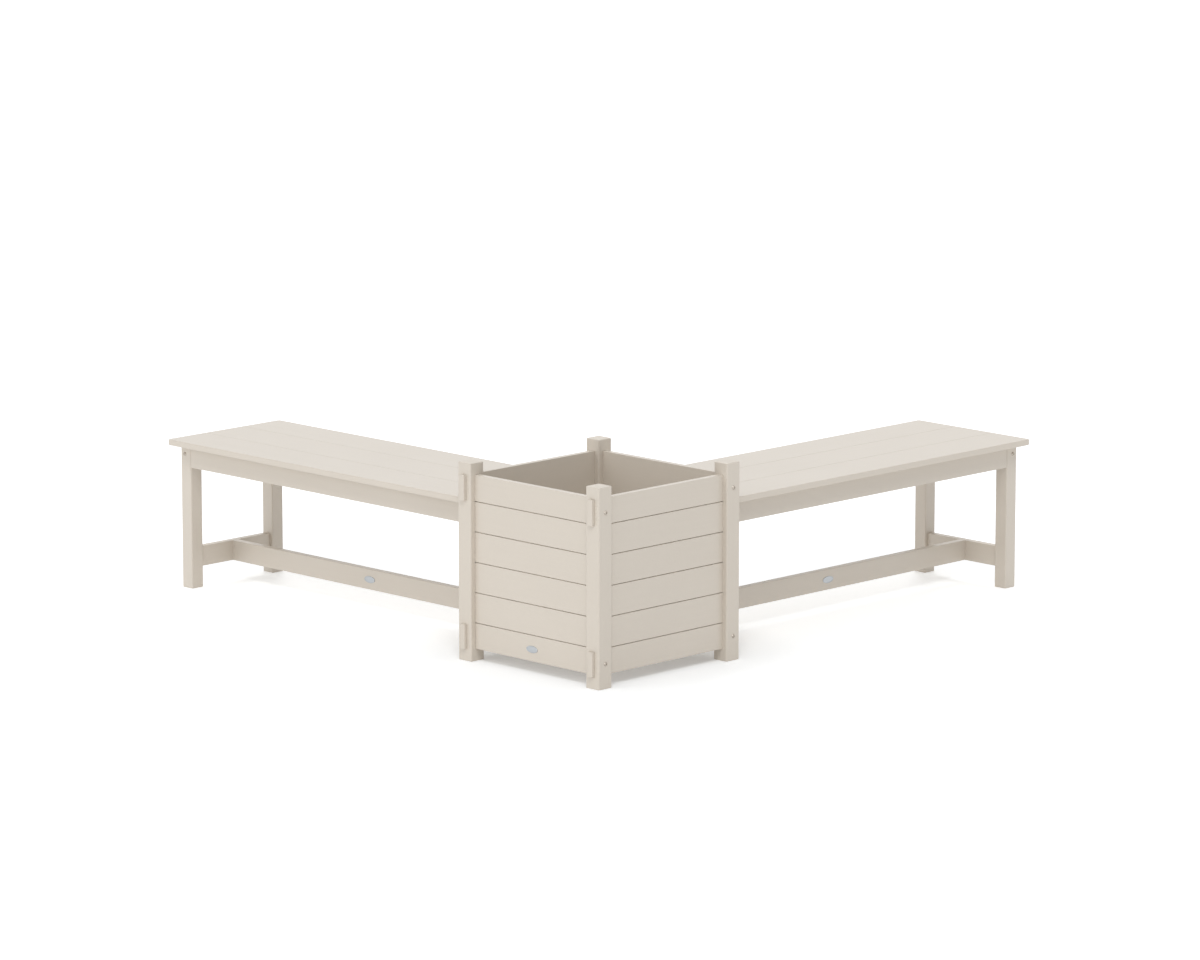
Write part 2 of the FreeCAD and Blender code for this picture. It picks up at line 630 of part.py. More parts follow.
def make_bench(name, turn):
    """One bench: seat boards, two legs, four rails, two stretchers and two battens."""
    for number in range(int(size("seat_board_count"))):
        make_seat_board(f"{name}_seat_board_{number + 1}", turn, number)
    sides = (-1, 1) if turn == 0 else (1, -1)
    for side_name, side in zip(("outer", "inner"), sides):
        make_leg(f"{name}_{side_name}_leg", turn, side)
        make_long_apron(f"{name}_{side_name}_apron", turn, side)
    make_end_apron(f"{name}_end_apron", turn)
    make_ledger(f"{name}_ledger", turn)
    make_cross_stretcher(f"{name}_cross_stretcher", turn)
    make_long_stretcher(f"{name}_long_stretcher", turn)
    for number in (1, 2):
        make_batten(f"{name}_batten_{number}", turn, number)


def screw_shape(length, diameter, head, dome):
    """A screw with a low domed head on the plane z = 0 and its point towards +Z."""
    radius = diameter / 2
    ball = (head ** 2 / 4 + dome ** 2) / (2 * dome)
    half_way = math.asin(head / 2 / ball) / 2
    crown = FreeCAD.Vector(0, 0, -dome)
    shoulder = FreeCAD.Vector(ball * math.sin(half_way), 0, ball - dome - ball * math.cos(half_way))
    rim = FreeCAD.Vector(head / 2, 0, 0)
    neck = FreeCAD.Vector(radius, 0, 0)
    taper = FreeCAD.Vector(radius, 0, length - diameter)
    tip = FreeCAD.Vector(0, 0, length)
    edges = [Part.Arc(crown, shoulder, rim).toShape()]
    for start, end in ((rim, neck), (neck, taper), (taper, tip), (tip, crown)):
        edges.append(Part.makeLine(start, end))
    return Part.Face(Part.Wire(edges)).revolve(FreeCAD.Vector(), Z_AXIS, 360)


def group(label, shapes):
    """Puts equal loose pieces, such as screws, in one node."""
    feature = doc.addObject("Part::Feature", label)
    feature.Label = label
    feature.Shape = Part.makeCompound(shapes)
    nodes.append(feature)


def make_screws(label, holes, prefix):
    """One screw for each hole in the list, its head on the hole's mouth."""
    screw = screw_shape(*[size(prefix + word) for word in ("_length", "_diameter", "_head", "_dome")])
    places = [body.Placement.multiply(hole.Placement) for body, hole in holes]
    group(label, [screw.transformed(place.toMatrix()) for place in places])


def oval_plate():
    """A small blank oval plate lying on the plane z = 0."""
    oval = Part.Ellipse(FreeCAD.Vector(), size("plate_length") / 2, size("plate_height") / 2)
    face = Part.Face(Part.Wire([oval.toShape()]))
    return face.extrude(FreeCAD.Vector(0, 0, size("plate_thickness")))


def make_plates():
    """A blank plate on the planter's -X side and on the near face of each long stretcher."""
    centre = worked_out(CENTRE)
    face = worked_out(PANEL_FACE)
    along = face + size("plate_setback")
    across = size("stretcher_thickness") / 2
    side_level = worked_out("panel_base + rail_height / 2 - plate_drop")
    stretcher_level = worked_out(STRETCHER_SCREW_LEVEL)
    facing_x = FreeCAD.Rotation(FreeCAD.Vector(0, -1, 0), Z_AXIS, -X_AXIS, "ZXY")
    facing_y = FreeCAD.Rotation(X_AXIS, Z_AXIS, -Y_AXIS, "ZXY")
    spots = (
        (FreeCAD.Vector(centre - face, centre, side_level), facing_x),
        (FreeCAD.Vector(centre - across, centre + along, stretcher_level), facing_x),
        (FreeCAD.Vector(centre + along, centre - across, stretcher_level), facing_y),
    )
    plate = oval_plate()
    group("blank_plates", [plate.transformed(FreeCAD.Placement(*spot).toMatrix()) for spot in spots])


def check_model():
    """Stops if any object failed or any piece has no sound shape."""
    failed = [item.Label for item in doc.Objects if {"Invalid", "Error"} & set(item.State)]
    failed += [node.Label for node in nodes if node.Shape.isNull() or not node.Shape.isValid()]
    if failed:
        raise RuntimeError("failed: " + ", ".join(failed))


for post_name, x_side, y_side in (("corner", -1, -1), ("right", 1, -1), ("left", -1, 1), ("rear", 1, 1)):
    make_post(f"planter_{post_name}_post", x_side, y_side)
for side_number, side_name in enumerate(("front_right", "back_right", "back_left", "front_left")):
    make_planter_side(side_name, side_number)
make_cleat("planter_right_cleat", 1)
make_cleat("planter_left_cleat", 3)
make_floor()
for quarter, bench_name in enumerate(("right_bench", "left_bench")):
    make_bench(bench_name, quarter)
doc.recompute()
make_screws("frame_screws", frame_screw_holes, "screw")
make_screws("small_screws", small_screw_holes, "small_screw")
make_plates()
doc.recompute()
check_model()

os.makedirs("parts", exist_ok=True)
for node in nodes:
    node.Shape.exportStep(f"parts/{node.Label}.step")
    print(f"{node.Label}: {len(node.Shape.Solids)} solid(s), {node.Shape.Volume / 1000:.1f} cm3")
print(len(nodes), "nodes")
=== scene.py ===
# %% [markdown]
# # A corner bench with a planter
#
# Two backless benches meet at a square planter box. All of it is one pale,
# solid-coloured plastic lumber, put together with tenons and domed screws, and
# it carries three small metal plates. The CAD model already holds every piece
# at its true size. This lesson models the pieces that show again, with soft
# edges and clean surfaces, gives everything its finish, and sets up the studio.

# %% Load the CAD frame
import math
import bmesh
import bpy
from mathutils import Matrix, Vector


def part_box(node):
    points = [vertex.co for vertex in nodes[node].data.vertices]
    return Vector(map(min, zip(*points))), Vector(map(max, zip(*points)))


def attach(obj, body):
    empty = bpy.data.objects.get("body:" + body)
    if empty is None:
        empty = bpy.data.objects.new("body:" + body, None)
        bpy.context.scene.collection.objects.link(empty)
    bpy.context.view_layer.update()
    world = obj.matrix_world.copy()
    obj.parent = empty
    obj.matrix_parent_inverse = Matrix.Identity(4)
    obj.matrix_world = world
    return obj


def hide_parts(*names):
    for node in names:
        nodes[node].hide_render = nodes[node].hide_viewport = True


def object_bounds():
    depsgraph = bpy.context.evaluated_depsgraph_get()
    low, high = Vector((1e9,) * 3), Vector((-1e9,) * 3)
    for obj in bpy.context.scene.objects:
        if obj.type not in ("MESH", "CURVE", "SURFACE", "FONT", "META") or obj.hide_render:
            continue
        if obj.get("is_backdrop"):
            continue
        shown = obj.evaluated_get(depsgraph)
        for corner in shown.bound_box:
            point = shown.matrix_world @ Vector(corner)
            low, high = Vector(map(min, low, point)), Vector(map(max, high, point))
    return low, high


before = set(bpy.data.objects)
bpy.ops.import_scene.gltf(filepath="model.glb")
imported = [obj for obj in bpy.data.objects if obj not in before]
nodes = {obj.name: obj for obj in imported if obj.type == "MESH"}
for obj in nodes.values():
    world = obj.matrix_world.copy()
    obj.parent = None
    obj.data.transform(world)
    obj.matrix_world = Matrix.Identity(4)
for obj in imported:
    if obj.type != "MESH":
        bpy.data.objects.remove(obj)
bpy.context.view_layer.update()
scene = bpy.context.scene

# %% [markdown]
# ## The camera
#
# A long lens far away keeps the benches' lines nearly parallel, as in the
# photograph. It looks along the planter's diagonal, eleven degrees down. The
# numbers come from fitting the edges of the object in the picture.

# %% Camera
PHOTO_WIDTH = 1200
FOCAL_PIXELS = 5997.8

camera_data = bpy.data.cameras.new("long_lens")
camera_data.sensor_width = 36
camera_data.lens = FOCAL_PIXELS * camera_data.sensor_width / PHOTO_WIDTH
camera = bpy.data.objects.new("camera", camera_data)
scene.collection.objects.link(camera)
camera.location = (-11.4171, -11.4171, 3.72205)
camera.rotation_euler = (math.radians(90 - 10.997), 0, math.radians(-45.011))
scene.camera = camera
print(f"lens {camera_data.lens:.1f} mm")

# %% [markdown]
# ## Small helpers for materials
#
# A material is a chain of nodes. Three helpers keep the chains short to read:
# one adds a node and fills its sockets, the others start and end a material.

# %% Material helpers
def add_node(tree, kind, inputs=(), **settings):
    """Adds a node, sets its options and fills or links its input sockets."""
    node = tree.nodes.new(kind)
    for option, value in settings.items():
        setattr(node, option, value)
    for socket, value in dict(inputs).items():
        if isinstance(value, bpy.types.NodeSocket):
            tree.links.new(value, node.inputs[socket])
        else:
            node.inputs[socket].default_value = value
    return node


def start_material(name):
    """An empty material and its node tree, ready for a shader."""
    material = bpy.data.materials.new(name)
    material.use_nodes = True
    material.node_tree.nodes.clear()
    return material, material.node_tree


def end_material(tree, shader):
    """Plugs the last shader into the material's output."""
    add_node(tree, "ShaderNodeOutputMaterial", {"Surface": shader})


# %% [markdown]
# ## Plastic lumber
#
# The boards are extruded and coloured all the way through. Up close such a
# board shows fine lines along its length, a faint speckle of the recycled
# plastic, and a satin shine that changes a little from place to place. A sawn
# end is duller and more pitted than a side. An image could show this, but
# noise is sharp at any distance. It reads Object coordinates, stretched along
# the board, and the surface's own direction tells the sawn ends from the sides.

# %% Plastic lumber finish
LUMBER_LIGHT = (0.678, 0.618, 0.540, 1)
LUMBER_DARK = (0.658, 0.598, 0.520, 1)
ALONG_GRAIN, ACROSS_GRAIN = 3, 170
SATIN_LEAST, SATIN_MOST, SAWN_DULLER = 0.30, 0.37, 0.15


def lumber_finish(name, axis):
    """Satin plastic lumber whose boards run along one axis: 0 for X, 1 for Y, 2 for Z."""
    material, tree = start_material(name)
    place = add_node(tree, "ShaderNodeTexCoord")
    stretch = [ALONG_GRAIN if number == axis else ACROSS_GRAIN for number in range(3)]
    along = add_node(tree, "ShaderNodeMapping", {"Vector": place.outputs["Object"], "Scale": stretch})
    lines = add_node(tree, "ShaderNodeTexNoise",
                     {"Vector": along.outputs[0], "Scale": 1, "Detail": 5, "Roughness": 0.6}).outputs[0]
    speckle = add_node(tree, "ShaderNodeTexNoise",
                       {"Vector": place.outputs["Object"], "Scale": 700, "Detail": 2}).outputs[0]
    drift = add_node(tree, "ShaderNodeTexNoise",
                     {"Vector": place.outputs["Object"], "Scale": 5, "Detail": 1}).outputs[0]

    parts = add_node(tree, "ShaderNodeSeparateXYZ", {0: place.outputs["Normal"]})
    facing = add_node(tree, "ShaderNodeMath", {0: parts.outputs[axis]}, operation="ABSOLUTE").outputs[0]
    sawn = add_node(tree, "ShaderNodeMapRange", {0: facing, 1: 0.85, 2: 0.98}).outputs[0]

    fine = add_node(tree, "ShaderNodeMath", {0: lines, 1: speckle}, operation="ADD").outputs[0]
    mottle = add_node(tree, "ShaderNodeMath", {0: fine, 1: drift}, operation="ADD").outputs[0]
    tone = add_node(tree, "ShaderNodeMapRange", {0: mottle, 1: 1.1, 2: 1.9}).outputs[0]
    colour = add_node(tree, "ShaderNodeMix", {0: tone, 6: LUMBER_DARK, 7: LUMBER_LIGHT},
                      data_type="RGBA").outputs[2]
    satin = add_node(tree, "ShaderNodeMapRange",
                     {0: lines, 1: 0.3, 2: 0.7, 3: SATIN_LEAST, 4: SATIN_MOST}).outputs[0]
    dull = add_node(tree, "ShaderNodeMath", {0: sawn, 1: SAWN_DULLER, 2: satin},
                    operation="MULTIPLY_ADD").outputs[0]
    pits = add_node(tree, "ShaderNodeMath", {0: sawn, 1: speckle}, operation="MULTIPLY").outputs[0]
    height = add_node(tree, "ShaderNodeMath", {0: fine, 1: pits}, operation="ADD").outputs[0]
    relief = add_node(tree, "ShaderNodeBump", {"Height": height, "Strength": 0.15, "Distance": 0.0003})
    shader = add_node(tree, "ShaderNodeBsdfPrincipled",
                      {"Base Color": colour, "Roughness": dull, "Normal": relief.outputs[0], "IOR": 1.55})
    end_material(tree, shader.outputs[0])
    return material


lumber = [lumber_finish(f"lumber_along_{letter}", axis) for axis, letter in enumerate("xyz")]
print("lumber finishes:", ", ".join(material.name for material in lumber))

# %% [markdown]
# ## Steel and plate metal
#
# The screws are stainless steel, turned and a little scuffed, so their shine is
# broken by a fine noise. The three plates are brushed along their length: the
# noise is stretched sideways, which draws thin level lines in the roughness and
# the relief. Both are full metals, whose colour is the colour of what they mirror.

# %% Metal finishes
SMOOTHER, ROUGHER = 0.06, 0.08


def metal_finish(name, dark, light, stretch, roughness):
    """A metal between two greys, with noise that is stretched into brush lines where wanted."""
    material, tree = start_material(name)
    place = add_node(tree, "ShaderNodeTexCoord").outputs["Object"]
    stretched = add_node(tree, "ShaderNodeMapping", {"Vector": place, "Scale": stretch}).outputs[0]
    brushed = add_node(tree, "ShaderNodeTexNoise", {"Vector": stretched, "Scale": 1, "Detail": 4}).outputs[0]
    colour = add_node(tree, "ShaderNodeMix", {0: brushed, 6: (*dark, 1), 7: (*light, 1)},
                      data_type="RGBA").outputs[2]
    shine = add_node(tree, "ShaderNodeMapRange",
                     {0: brushed, 1: 0.3, 2: 0.7, 3: roughness - SMOOTHER, 4: roughness + ROUGHER}).outputs[0]
    relief = add_node(tree, "ShaderNodeBump", {"Height": brushed, "Strength": 0.2, "Distance": 0.0001})
    shader = add_node(tree, "ShaderNodeBsdfPrincipled",
                      {"Base Color": colour, "Metallic": 1.0, "Roughness": shine, "Normal": relief.outputs[0]})
    end_material(tree, shader.outputs[0])
    return material


screw_steel = metal_finish("stainless_steel", (0.38, 0.34, 0.29), (0.54, 0.49, 0.43), (900, 900, 900), 0.34)
plate_metal = metal_finish("brushed_plate", (0.40, 0.42, 0.44), (0.52, 0.54, 0.56), (60, 60, 2500), 0.36)

# %% [markdown]
# ## A workshop of five operations
#
# Every piece of lumber is a straight stick or board with joints at its ends. By
# hand it would be a cube, scaled to size, with faces inset and extruded for the
# tenons, blocks cut out for the mortises and the edges bevelled. The helpers
# below do these steps with the same operators. A test in code picks the edges
# or faces, because there is no mouse to click them. Each piece keeps its place
# in its mesh, so its object stays at the origin. A corner counts as being at a
# level within TOUCH, and a cutter reaches OVER past the wood.

# %% Workshop helpers
X, Y, Z = 0, 1, 2
TOUCH, PARALLEL = 0.00002, 0.999
OVER = 0.01


def only(piece):
    """Makes one object the only selected one, and the active one."""
    bpy.ops.object.select_all(action="DESELECT")
    piece.select_set(True)
    bpy.context.view_layer.objects.active = piece


def start_block(name, low, high):
    """A cube primitive that reaches from one corner to the other."""
    low, high = Vector(low), Vector(high)
    bpy.ops.object.select_all(action="DESELECT")
    bpy.ops.mesh.primitive_cube_add(size=1, location=(low + high) / 2, scale=high - low)
    piece = bpy.context.object
    piece.name = name
    bpy.ops.object.transform_apply(location=True, rotation=True, scale=True)
    return piece


def pick(piece, kind, wanted):
    """Goes into edit mode and selects the edges or faces that a test picks."""
    only(piece)
    bpy.ops.object.mode_set(mode="EDIT")
    bpy.ops.mesh.select_mode(type=kind)
    bpy.ops.mesh.select_all(action="DESELECT")
    shape = bmesh.from_edit_mesh(piece.data)
    found = [item for item in (shape.edges if kind == "EDGE" else shape.faces) if wanted(item)]
    for item in found:
        item.select_set(True)
    bmesh.update_edit_mesh(piece.data)
    if not found:
        raise RuntimeError(f"{piece.name}: the test picked nothing")


def round_edges(piece, radius, wanted, segments=3):
    """Bevels the picked edges into a rounding."""
    pick(piece, "EDGE", wanted)
    bpy.ops.mesh.bevel(offset=radius, segments=segments, affect="EDGES")
    bpy.ops.object.mode_set(mode="OBJECT")


def grow(piece, wanted, way, shoulder=0):
    """Insets the picked face by the shoulder's width, then extrudes it: a tenon, or a slot if it goes inwards."""
    pick(piece, "FACE", wanted)
    if shoulder:
        bpy.ops.mesh.inset(thickness=shoulder)
    bpy.ops.mesh.extrude_region_move(TRANSFORM_OT_translate={"value": way})
    bpy.ops.object.mode_set(mode="OBJECT")


def cut(piece, low, high):
    """Cuts a block out of a piece, as a saw or a mortiser would."""
    cutter = start_block("cutter", low, high)
    cut_with(piece, cutter)


def cut_with(piece, cutter):
    """Takes the cutter's shape out of the piece and throws the cutter away."""
    modifier = piece.modifiers.new("cut", "BOOLEAN")
    modifier.operation = "DIFFERENCE"
    modifier.object = cutter
    only(piece)
    bpy.ops.object.modifier_apply(modifier="cut")
    bpy.data.objects.remove(cutter, do_unlink=True)


def runs_along(edge, axis):
    """True for an edge that is parallel to an axis."""
    run = edge.verts[1].co - edge.verts[0].co
    return abs(run[axis]) > PARALLEL * run.length


def lies_at(item, axis, level):
    """True for an edge or face all of whose corners are at one level along an axis."""
    return all(abs(corner.co[axis] - level) < TOUCH for corner in item.verts)


def at_any(item, axis, levels):
    """True if the edge or face lies at one of the levels."""
    return any(lies_at(item, axis, level) for level in levels)


# %% [markdown]
# ## Copies and finishing
#
# Equal pieces are modelled once. A copy gets a mesh of its own, which is turned
# in quarter turns about the planter's middle, or mirrored. A mirrored mesh is
# inside out, so its normals are turned round again. The last step smooths the
# bevels, keeps the flats flat with weighted normals, gives the piece the lumber
# whose grain runs along its longest side, hangs it on the root body and hides
# the CAD node it stands in for.

# %% Copying and finishing
CENTRE = Vector((0.254, 0.254, 0))


def copy_of(piece, name):
    """A second object with its own mesh."""
    twin = piece.copy()
    twin.data = piece.data.copy()
    twin.name = name
    scene.collection.objects.link(twin)
    return twin


def mirrored(piece, name, axis):
    """A copy that is mirrored across the middle plane on one axis, facing outwards again."""
    twin = copy_of(piece, name)
    flip = [-1 if number == axis else 1 for number in range(3)]
    twin.data.transform(Matrix.Diagonal((*flip, 1)))
    twin.data.flip_normals()
    return twin


def put(piece, quarter_turns=0):
    """Turns a piece about the planter's middle and moves it to its place there."""
    turn = Matrix.Rotation(math.radians(90 * quarter_turns), 4, "Z")
    piece.data.transform(Matrix.Translation(CENTRE) @ turn)
    return piece


def longest_side(piece):
    """The axis along which a piece is longest: 0 for X, 1 for Y, 2 for Z."""
    corners = [vertex.co for vertex in piece.data.vertices]
    spans = [max(c[axis] for c in corners) - min(c[axis] for c in corners) for axis in range(3)]
    return spans.index(max(spans))


def finish_piece(piece, node, material=None):
    """Smooths a piece, gives it its material, hangs it on the root body and hides the CAD node it stands in for."""
    only(piece)
    bpy.ops.object.shade_smooth_by_angle(angle=math.radians(35))
    piece.modifiers.new("flats", "WEIGHTED_NORMAL").keep_sharp = True
    bpy.ops.object.modifier_apply(modifier="flats")
    piece.data.materials.clear()
    piece.data.materials.append(material or lumber[longest_side(piece)])
    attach(piece, "root")
    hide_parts(node)


# %% [markdown]
# ## Planter posts
#
# A post is a square stick, 52 mm wide and 568 mm tall, with rounded arrises and
# a softer top, so it catches a thin light along its edges. Two housings take
# the ends of the side boards and two mortises let the tenons through. The
# corner post is modelled standing at the planter's front corner. A half turn
# gives the rear post, and mirror twins give the other two.

# %% Planter posts
POST_SIDE, POST_HEIGHT = 0.052, 0.568
POST_OUT = 0.280
PANEL_LOW, PANEL_TOP = 0.035, 0.534
PANEL_FACE = 0.263
BOARD = 0.018
HOUSING = 0.008
FIT = 0.0002
RAIL, RIM = 0.0745, 0.0765
TENON_SHOULDER = 0.003
POST_ROUND, POST_TOP_ROUND, FOOT_ROUND = 0.005, 0.003, 0.002
OUTSIDE = -0.3

post_inside = POST_SIDE - POST_OUT
post = start_block("corner_post", (-POST_OUT, -POST_OUT, 0), (post_inside, post_inside, POST_HEIGHT))
round_edges(post, POST_ROUND, lambda edge: runs_along(edge, Z), segments=5)
round_edges(post, POST_TOP_ROUND, lambda edge: lies_at(edge, Z, POST_HEIGHT), segments=4)
round_edges(post, FOOT_ROUND, lambda edge: lies_at(edge, Z, 0))
slot_near, slot_far = -PANEL_FACE - FIT, BOARD - PANEL_FACE + FIT
housing = post_inside - HOUSING
for low, high in (((housing, slot_near), (0, slot_far)), ((slot_near, housing), (slot_far, 0))):
    cut(post, (*low, PANEL_LOW - FIT), (*high, PANEL_TOP + FIT))
for low, high in ((PANEL_LOW, PANEL_LOW + RAIL - TENON_SHOULDER), (PANEL_TOP - RIM + TENON_SHOULDER, PANEL_TOP)):
    cut(post, (OUTSIDE, slot_near, low - FIT), (0, slot_far, high + FIT))

posts = {
    "corner": post,
    "right": mirrored(post, "right_post", X),
    "left": mirrored(post, "left_post", Y),
    "rear": copy_of(post, "rear_post"),
}
put(posts["rear"], 2)
for name in ("corner", "right", "left"):
    put(posts[name])
for name, piece in posts.items():
    finish_piece(piece, f"planter_{name}_post")
print(f"{len(posts)} posts of {len(post.data.polygons)} faces")

# %% [markdown]
# ## Planter sides
#
# Each side has six boards, one above the other. A tongue on top of each board
# goes into a groove in the next, and a small rebate leaves the thin dark line
# that shows between them. The top and bottom boards of two sides go right
# through the posts and stand out 10 mm as tenons. Eight boards are modelled,
# and the rest are copies: the four sides are quarter turns of one. A tenon's tip
# is rounded less than the long edges that run into it, or faces would cross.

# %% Planter sides
COURSE = (PANEL_TOP - RIM - PANEL_LOW - RAIL) / 4
HALF_HOUSED = 0.236
TONGUE, TONGUE_PLAY = 0.006, 0.0005
REVEAL = 0.002
TENON_REACH = 0.054
BOARD_ROUND, RIM_ROUND = 0.0025, 0.0012
TIP_ROUND, RIM_TIP_ROUND = 0.002, 0.001


def model_board(name, base, height, half_length, tongue=True, groove=True, tenons=False):
    """One side board, lying along X at the planter's front, with its joints and rounded edges."""
    front, back = -PANEL_FACE, BOARD - PANEL_FACE
    top = base + height
    board = start_block(name, (-half_length, front, base), (half_length, back, top))
    if tongue:
        grow(board, lambda face: lies_at(face, Z, top), (0, 0, TONGUE), TONGUE)
    if groove:
        grow(board, lambda face: lies_at(face, Z, base), (0, 0, TONGUE + TONGUE_PLAY), TONGUE - FIT)
    if tenons:
        for end in (-half_length, half_length):
            grow(board, lambda face: lies_at(face, X, end), (math.copysign(TENON_REACH, end), 0, 0))
    levels = (base, top) if tongue else (base,)
    round_edges(board, BOARD_ROUND,
                lambda edge: runs_along(edge, X) and lies_at(edge, Y, front) and at_any(edge, Z, levels))
    if not tongue:
        round_edges(board, RIM_ROUND, lambda edge: runs_along(edge, X) and lies_at(edge, Z, top))
    if tenons:
        joint_side = (top - TENON_SHOULDER, top + OVER) if tongue else (base - OVER, base + TENON_SHOULDER)
        tip = half_length + TENON_REACH
        for near, far in ((-tip - OVER, -half_length), (half_length, tip + OVER)):
            cut(board, (near, front - OVER, joint_side[0]), (far, back + OVER, joint_side[1]))
        round_edges(board, TIP_ROUND if tongue else RIM_TIP_ROUND, lambda edge: at_any(edge, X, (-tip, tip)))
    if groove:
        past = half_length + OVER
        cut(board, (-past, front - OVER, base - OVER), (past, front + TONGUE, base + REVEAL))
    return board


bases = [PANEL_LOW] + [PANEL_LOW + RAIL + number * COURSE for number in range(4)] + [PANEL_TOP - RIM]
first_side = [
    model_board("rail_low", bases[0], RAIL, HALF_HOUSED, groove=False),
    *[model_board(f"course_{number}", bases[number], COURSE, HALF_HOUSED - TONGUE_PLAY) for number in range(1, 5)],
    model_board("rail_high", bases[5], RIM, HALF_HOUSED, tongue=False),
]
through_low = model_board("through_low", bases[0], RAIL, HALF_HOUSED, groove=False, tenons=True)
through_high = model_board("through_high", bases[5], RIM, HALF_HOUSED, tongue=False, tenons=True)

for turn, side in enumerate(("front_right", "back_right", "back_left", "front_left")):
    boards = list(first_side)
    if turn in (0, 2):
        boards[0], boards[5] = through_low, through_high
    for number, board in enumerate(boards, 1):
        piece = put(copy_of(board, f"{side}_course_{number}"), turn)
        finish_piece(piece, f"planter_{side}_board_{number}")
for board in (*first_side, through_low, through_high):
    bpy.data.objects.remove(board, do_unlink=True)
print("24 side boards from 8 models")

# %% [markdown]
# ## Seat boards
#
# Three boards lie side by side with a gap of about a millimetre. The seat's own
# outline is rounded for comfort, its corners too, and the edges at the gaps are
# only eased, so the gaps stay fine lines. The corners are bevelled first, then
# the outline above and below. A ring of edges round a joint's side face is then
# one clean loop, and it bevels without a fault at the corners. The second bench
# is the first one, a quarter turn further.

# %% Seat boards
SEAT_LOW, SEAT_TOP = 0.433, 0.451
SEAT_START, SEAT_END = 0.266, 1.586
SEAT_BOARD, SEAT_PITCH = 0.1476, 0.1487
SEAT_HALF = 0.2225
SEAT_ROUND, JOINT_ROUND = 0.003, 0.0004
INNER_CORNER, OUTER_CORNER = 0.004, 0.009


def model_seat_board(name, number):
    """One seat board along X, counted from the bench's -Y side."""
    near = -SEAT_HALF + number * SEAT_PITCH
    far = near + SEAT_BOARD
    board = start_block(name, (SEAT_START, near, SEAT_LOW), (SEAT_END, far, SEAT_TOP))
    joints = {0: (far,), 1: (near, far), 2: (near,)}[number]
    outside = {0: near, 2: far}.get(number)
    if outside is not None:
        for end, radius in ((SEAT_START, INNER_CORNER), (SEAT_END, OUTER_CORNER)):
            round_edges(board, radius, lambda edge: lies_at(edge, Y, outside) and lies_at(edge, X, end), segments=6)
    round_edges(board, SEAT_ROUND,
                lambda edge: at_any(edge, Z, (SEAT_LOW, SEAT_TOP)) and not at_any(edge, Y, joints), segments=4)
    for side in joints:
        round_edges(board, JOINT_ROUND, lambda edge: lies_at(edge, Y, side), segments=4)
    return board


seat_boards = [model_seat_board(f"right_seat_plank_{number + 1}", number) for number in range(3)]
for number, board in enumerate(seat_boards, 1):
    twin = put(copy_of(board, f"left_seat_plank_{number}"), 1)
    finish_piece(twin, f"left_bench_seat_board_{number}")
    finish_piece(put(board), f"right_bench_seat_board_{number}")
print("6 seat boards")

# %% [markdown]
# ## Legs and rails
#
# Each bench stands on two square legs. Aprons run under the seat's edges, a low
# cross stretcher ties the legs, and one long stretcher runs down the middle to
# the planter. All of them meet in stub tenons: the end face is inset by the
# shoulder's width and extruded, and the leg gets a mortise of the same size and
# a little more. The bench along X is modelled, its second leg and apron are
# mirror twins, and the bench along Y is the same set turned.

# %% Legs and rails
LEG_START, LEG_END = 1.5275, 1.5715
LEG_OUT, LEG_IN = 0.1825, 0.1385
APRON_LOW, APRON_START = 0.3665, 0.281
APRON_OUT, APRON_IN = 0.1815, 0.1635
END_APRON_START, END_APRON_END = 1.5445, 1.5625
STRETCHER_LOW, STRETCHER_TOP = 0.0605, 0.1215
STRETCHER_HALF = 0.011
CROSS_MIDDLE = 1.5495
STUB, STUB_SHOULDER, PLAY = 0.012, 0.004, 0.0005
BATTEN_HALF, BATTEN_THICK, BATTEN_HOUSING = 0.030, 0.018, 0.006
BATTEN_MIDDLES = (0.6965, 1.112)
LEG_ROUND, RAIL_ROUND = 0.004, 0.0015


def ease_rail(rail, axis, low, high):
    """Eases the four long edges of a rail that runs along an axis."""
    sides = [number for number in range(3) if number != axis]

    def is_outer(edge):
        return runs_along(edge, axis) and all(at_any(edge, side, (low[side], high[side])) for side in sides)

    round_edges(rail, RAIL_ROUND, is_outer)


def model_rail(name, axis, low, high, ends):
    """A rail with stub tenons at the given ends and eased edges."""
    rail = start_block(name, low, high)
    for end in ends:
        level = (low, high)[end > 0][axis]
        way = [0, 0, 0]
        way[axis] = end * STUB
        grow(rail, lambda face: lies_at(face, axis, level), way, STUB_SHOULDER)
    ease_rail(rail, axis, low, high)
    return rail


def stub_mortise(piece, axis, low, high):
    """Cuts the mortise for a stub whose rail has this section, a little deeper and wider than the stub."""
    room = STUB_SHOULDER - FIT
    low = [level if number == axis else level + room for number, level in enumerate(low)]
    high = [level if number == axis else level - room for number, level in enumerate(high)]
    cut(piece, low, high)


leg = start_block("right_outer_leg", (LEG_START, -LEG_OUT, 0), (LEG_END, -LEG_IN, SEAT_LOW))
round_edges(leg, LEG_ROUND, lambda edge: runs_along(edge, Z), segments=5)
round_edges(leg, FOOT_ROUND, lambda edge: lies_at(edge, Z, 0))
deep = STUB + PLAY
cross_near, cross_far = CROSS_MIDDLE - STRETCHER_HALF, CROSS_MIDDLE + STRETCHER_HALF
stub_mortise(leg, X, (LEG_START - OVER, -APRON_OUT, APRON_LOW), (LEG_START + deep, -APRON_IN, SEAT_LOW))
stub_mortise(leg, Y, (END_APRON_START, -LEG_IN - deep, APRON_LOW), (END_APRON_END, -LEG_IN + OVER, SEAT_LOW))
stub_mortise(leg, Y, (cross_near, -LEG_IN - deep, STRETCHER_LOW), (cross_far, -LEG_IN + OVER, STRETCHER_TOP))

